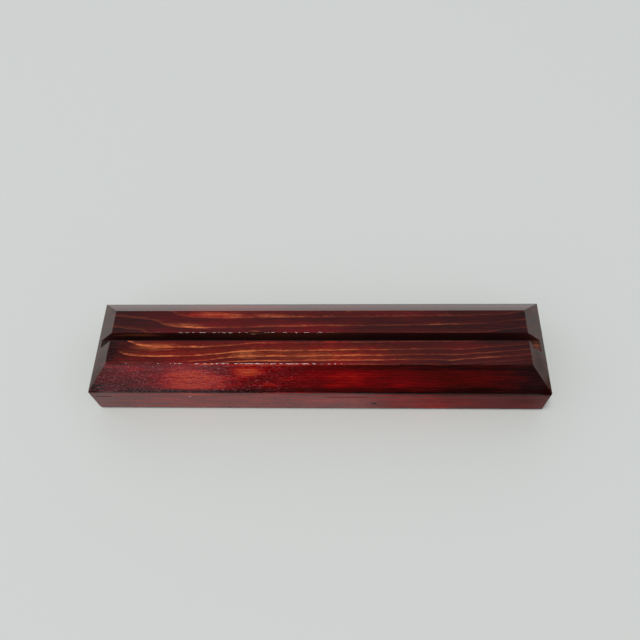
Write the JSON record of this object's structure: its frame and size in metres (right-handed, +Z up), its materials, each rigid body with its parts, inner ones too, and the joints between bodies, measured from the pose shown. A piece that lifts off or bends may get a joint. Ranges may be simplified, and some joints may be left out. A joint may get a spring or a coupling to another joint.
{
  "type": "display base",
  "caption": "Low wooden bar with bevelled top edges and a slot along its top that holds the lower edge of an upright display sheet, on stick-on rubber feet.",
  "frame": {"origin": "under the centre of the bar, on the surface that the feet stand on", "axes": "+X along the bar and its slot, +Y towards the back, +Z up"},
  "size_m": [0.25, 0.056, 0.0342],
  "materials": {
    "stained_pine": "mahogany-stained pine under glossy clear lacquer",
    "wood_glue": "cured wood glue, stained over",
    "foot_rubber": "matte die-cut rubber",
    "foot_adhesive": "double-sided adhesive film"
  },
  "bodies": {
    "root": {"slotted_top_board": "stained_pine", "plinth_board": "stained_pine", "glue_line": "wood_glue", "foot_front_left": "foot_rubber", "foot_front_right": "foot_rubber", "foot_rear_left": "foot_rubber", "foot_rear_right": "foot_rubber", "foot_adhesive_front_left": "foot_adhesive", "foot_adhesive_front_right": "foot_adhesive", "foot_adhesive_rear_left": "foot_adhesive", "foot_adhesive_rear_right": "foot_adhesive"}
  },
  "joints": []
}
